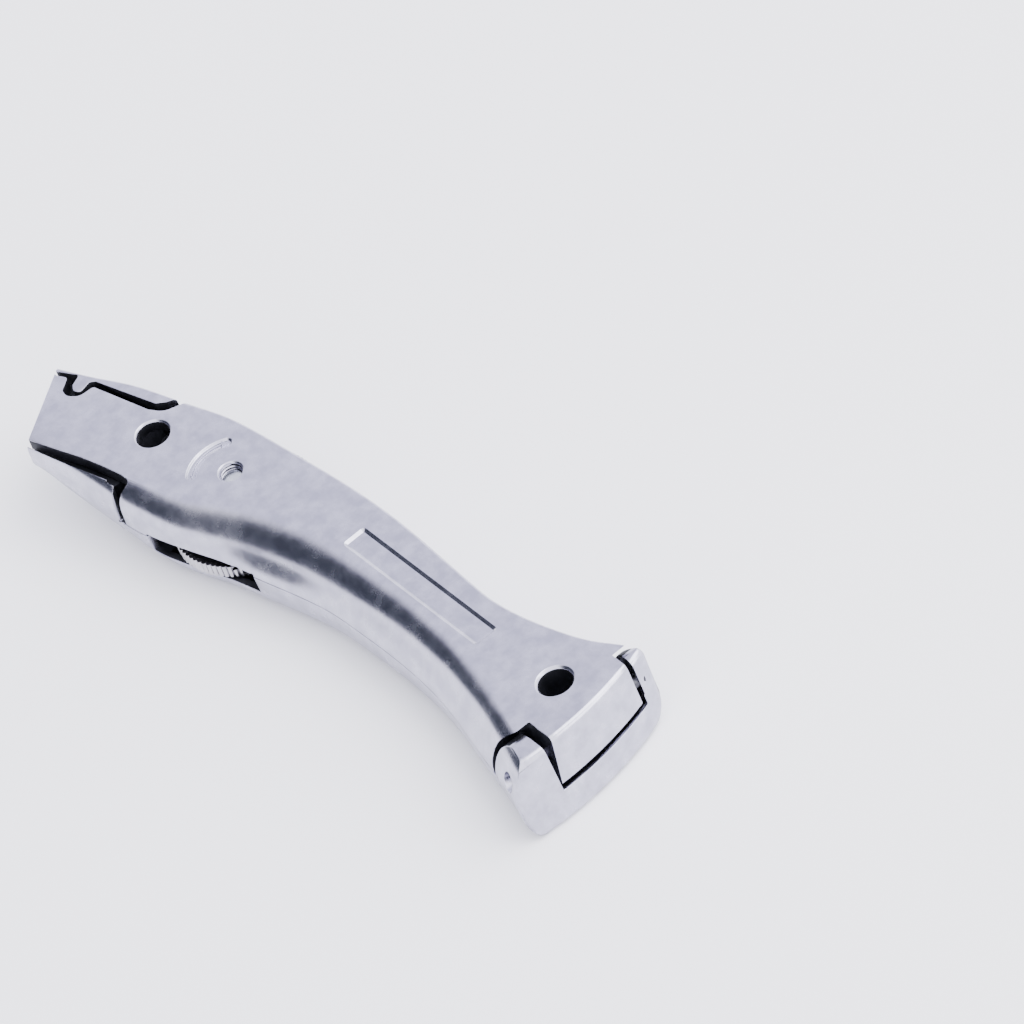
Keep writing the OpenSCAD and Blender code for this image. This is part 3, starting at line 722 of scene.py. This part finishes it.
def paint_shade_inside(piece):
    """Gives faces that lie inside the handle's outer skin the dark as-cast material: painted shade
    on the walls of the gaps.
    """
    piece.data.materials.append(inside_painted_shade)
    for face in piece.data.polygons:
        x, y = (face.center.x - AXIS[0]) / MM, (face.center.y - AXIS[1]) / MM
        z = face.center.z / MM
        tail_foot = x > TAIL_X - 16 and z < 7
        if tail_foot or not NOSE_X + 0.5 < x < PIN_X - 2:
            continue
        spine = curve(spine_edge, x)
        outline = [p for p in section(x) if p[0] < spine - 6]
        belly = min(outline, key=lambda p: abs(p[1] - z) + (2 if p[1] > z + 2 else 0))[0]
        deep = max(curve(under_z, x), 0) + 0.5 < z < TOP - 0.7
        if deep and belly + 0.6 < y < spine - 0.4:
            # painted shade: deep faces between the belly and the spine get the dark inner material
            face.material_index = 1


body = build_body()
cover = build_cover(body)
base = build_base(body)
bpy.data.objects.remove(body)
for piece, part, node in ((cover, "cover", "upper_shell"), (base, "base", "lower_shell")):
    merge(piece, 0.03)
    soften(piece, SOFT_EDGE)
    shade(piece, zinc, 30)
    # dark painted shade on the inner walls of the handle
    paint_shade_inside(piece)
    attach(piece, part)
    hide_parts(node)


def node_group(name, sockets):
    """Empty geometry node tree with the named float inputs."""
    tree = bpy.data.node_groups.new(name, "GeometryNodeTree")
    tree.interface.new_socket("Geometry", in_out="OUTPUT", socket_type="NodeSocketGeometry")
    for socket in sockets:
        tree.interface.new_socket(socket, in_out="INPUT", socket_type="NodeSocketFloat")
    return tree


def grow(name, tree, values, material):
    """Runs a geometry node tree and returns its result as a plain mesh object."""
    host = new_object(name, [(0, 0, 0), (1, 0, 0), (0, 1, 0)], [(0, 1, 2)])
    mod = host.modifiers.new("grow", "NODES")
    mod.node_group = tree
    for item in tree.interface.items_tree:
        if item.in_out == "INPUT" and item.name in values:
            mod[item.identifier] = float(values[item.name])
    settle(host, mod)
    host.data.materials.clear()
    host.data.materials.append(material)
    for v in host.data.vertices:
        v.co.x += AXIS[0]
        v.co.y += AXIS[1]
    return host


def finish_tree(tree, geometry, height, material):
    """Lifts the geometry, makes its instances real, sets the material and ends the tree."""
    lift = add(tree, "ShaderNodeCombineXYZ", Z=height)
    placed = add(tree, "GeometryNodeTransform", Geometry=geometry,
                 Translation=lift.outputs["Vector"])
    real = add(tree, "GeometryNodeRealizeInstances", Geometry=placed.outputs["Geometry"])
    dressed = add(tree, "GeometryNodeSetMaterial", {"Material": material},
                  Geometry=real.outputs["Geometry"])
    add(tree, "NodeGroupOutput", Geometry=dressed.outputs["Geometry"])
    return tree


def knurl_tree(material):
    """Round teeth set side by side round the rim."""
    tree = node_group("wheel_knurl", ("Rim radius", "Tooth radius", "Height", "Bottom"))
    inputs = add(tree, "NodeGroupInput").outputs
    middle = add(tree, "ShaderNodeMath", {"operation": "MULTIPLY_ADD", 1: 0.5},
                 _0=inputs["Height"], _2=inputs["Bottom"]).outputs[0]
    inner = add(tree, "ShaderNodeMath", {"operation": "SUBTRACT"}, _0=inputs["Rim radius"],
                _1=inputs["Tooth radius"]).outputs[0]
    rim = add(tree, "GeometryNodeMeshCircle", {"Vertices": TEETH}, Radius=inner)
    tooth = add(tree, "GeometryNodeMeshCylinder", {"Vertices": 12}, Radius=inputs["Tooth radius"],
                Depth=inputs["Height"])
    teeth = add(tree, "GeometryNodeInstanceOnPoints", Points=rim.outputs["Mesh"],
                Instance=tooth.outputs["Mesh"])
    return finish_tree(tree, teeth.outputs["Instances"], middle, material)


def thread_tree(material):
    """One ridge wound as a helix on the wall of the threaded hole."""
    tree = node_group("hole_thread", ("Radius", "Turns", "Length", "Ridge", "Bottom"))
    inputs = add(tree, "NodeGroupInput").outputs
    helix = add(tree, "GeometryNodeCurveSpiral", {"Resolution": 36}, Rotations=inputs["Turns"],
                Start_Radius=inputs["Radius"], End_Radius=inputs["Radius"],
                Height=inputs["Length"])
    ridge = add(tree, "GeometryNodeCurvePrimitiveCircle", {"Resolution": 6}, Radius=inputs["Ridge"])
    wall = add(tree, "GeometryNodeCurveToMesh", {"Fill Caps": True}, Curve=helix.outputs["Curve"],
               Profile_Curve=ridge.outputs["Curve"])
    return finish_tree(tree, wall.outputs["Mesh"], inputs["Bottom"], material)


def join(pieces, name):
    """One object from several, in the first one's place."""
    bm = bmesh.new()
    for piece in pieces:
        bm.from_mesh(piece.data)
    bm.to_mesh(pieces[0].data)
    bm.free()
    for piece in pieces[1:]:
        bpy.data.objects.remove(piece)
    pieces[0].name = name
    return pieces[0]


teeth = grow("teeth", knurl_tree(wheel_plate),
             {"Rim radius": WHEEL_R * MM, "Tooth radius": TOOTH_R * MM, "Height": WHEEL_T * MM,
              "Bottom": WHEEL_Z * MM}, wheel_plate)
# Dished web between hub and rim: radius, and depth below the wheel's face
web = [(4.1, 0), (7.5, 0), (7.8, 0.6), (13.2, 0.6), (13.5, 0.02), (15.6, 0.02), (15.9, 0.3)]
disc = turned("disc", 0, 0, [(r, WHEEL_Z + depth) for r, depth in web]
              + [(r, WHEEL_TOP - depth) for r, depth in reversed(web)], 120)
wheel = join([disc, teeth], "knurled_wheel")
thread = grow("cover_thread", thread_tree(zinc),
              {"Radius": SCREW_HOLE_R * MM, "Turns": THREAD_TURNS,
               "Length": THREAD_TURNS * THREAD_PITCH * MM, "Ridge": 0.3 * MM,
               "Bottom": (TOP - 3.3) * MM}, zinc)
for piece, part, slot, finish in ((wheel, "wheel", "wheel_steel", wheel_plate),
                                  (thread, "cover", "zinc_casting", zinc)):
    shade(piece, finish, 35)
    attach(piece, part)
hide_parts("thumbwheel")

finishes = {"hinge_pin": pin_steel, "thumbwheel": wheel_plate, "clamp_screw": screw_steel,
            "screw_bush": bronze, "thrust_washer": spring_steel, "spring_washer": spring_steel,
            "retaining_ring": spring_steel, "blade_peg_front": pin_steel,
            "blade_peg_rear": pin_steel, "magazine_clip": spring_steel, "clip_screw": screw_steel,
            "blade_stop_pins": pin_steel, "wear_plate": blued_steel,
            "wear_plate_rivets": pin_steel}
for i in range(1, 6):
    finishes["spare_blade_%d" % i] = blade_steel
for name, material in finishes.items():
    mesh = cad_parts[name].data
    mesh.materials.clear()
    mesh.materials.append(material)


# ---- floor, light and camera ----
def build_stage():
    s = 6.0
    mesh = bpy.data.meshes.new("floor")
    mesh.from_pydata([(-s, -s, 0), (s, -s, 0), (s, s, 0), (-s, s, 0)], [], [(0, 1, 2, 3)])
    floor = bpy.data.objects.new("floor", mesh)
    bpy.context.scene.collection.objects.link(floor)
    # Matt white paper: a near-white ground with only a faint contact shadow.
    paper = bpy.data.materials.new("paper_white_matt")
    paper.use_nodes = True
    shader = paper.node_tree.nodes["Principled BSDF"]
    shader.inputs["Base Color"].default_value = linear("#F4F4F8")
    shader.inputs["Roughness"].default_value = 0.9
    mesh.materials.append(paper)


def area_light(name, place, width, power):
    """Square softbox at place, in metres, that faces the knife and doesn't show itself."""
    light = bpy.data.lights.new(name, "AREA")
    light.shape = "RECTANGLE"
    light.size, light.size_y = width, width
    light.energy = power
    obj = bpy.data.objects.new(name, light)
    obj.location = place
    obj.rotation_euler = (-Vector(place)).to_track_quat("-Z", "Y").to_euler()
    obj.visible_camera = False
    bpy.context.scene.collection.objects.link(obj)


def sky_patch(tree, direction, way, stops):
    """Colours of the sky by how near its direction is to the given way."""
    near = add(tree, "ShaderNodeVectorMath",
               {"operation": "DOT_PRODUCT", 1: tuple(Vector(way).normalized())}, _0=direction)
    return ramp(tree, near.outputs["Value"], [(at, linear(code)) for at, code in stops])


def build_world():
    """Bright studio all round: dark low behind the belly, greyer where the flat top mirrors it."""
    world = bpy.data.worlds.new("studio")
    bpy.context.scene.world = world
    world.use_nodes = True
    tree = world.node_tree
    sky = tree.nodes["Background"]
    direction = add(tree, "ShaderNodeTexCoord").outputs["Generated"]
    dark = sky_patch(tree, direction, (-0.55, -0.76, 0.36), [(0.66, "#F6F6FC"), (0.84, "#20242C")])
    grey = sky_patch(tree, direction, (-0.67, 0.27, 0.70), [(0.72, "#FFFFFF"), (0.93, "#BCBCC8")])
    mixed = add(tree, "ShaderNodeVectorMath", {"operation": "MULTIPLY"}, _0=dark, _1=grey)
    tree.links.new(mixed.outputs["Vector"], sky.inputs["Color"])
    sky.inputs["Strength"].default_value = 4.2


def build_camera():
    """Camera above the belly side near the tail, rolled so that the knife runs down-right."""
    forward = Vector((-0.666, 0.270, -0.697)).normalized()
    right = Vector((0.599, 0.757, -0.279))
    right = (right - forward * right.dot(forward)).normalized()
    up = right.cross(forward)
    distance = 6.0                # far off, for nearly parallel sight lines
    view_width = 0.2107           # metres across the picture at the target
    target = metres(59.3, 30.4, TOP)
    camera = bpy.data.cameras.new("camera")
    camera.sensor_width = 36
    camera.lens = camera.sensor_width * distance / view_width
    camera.clip_end = 50
    obj = bpy.data.objects.new("camera", camera)
    bpy.context.scene.collection.objects.link(obj)
    place = target - forward * distance
    turn = Matrix((right, up, -forward)).transposed().to_4x4()
    obj.matrix_world = Matrix.Translation(place) @ turn
    bpy.context.scene.camera = obj


build_stage()
build_world()
area_light("top_softbox", (0.3, 0.6, 1.1), 0.9, 14)
area_light("tail_softbox", (0.9, 0.5, 0.5), 0.5, 4)
build_camera()
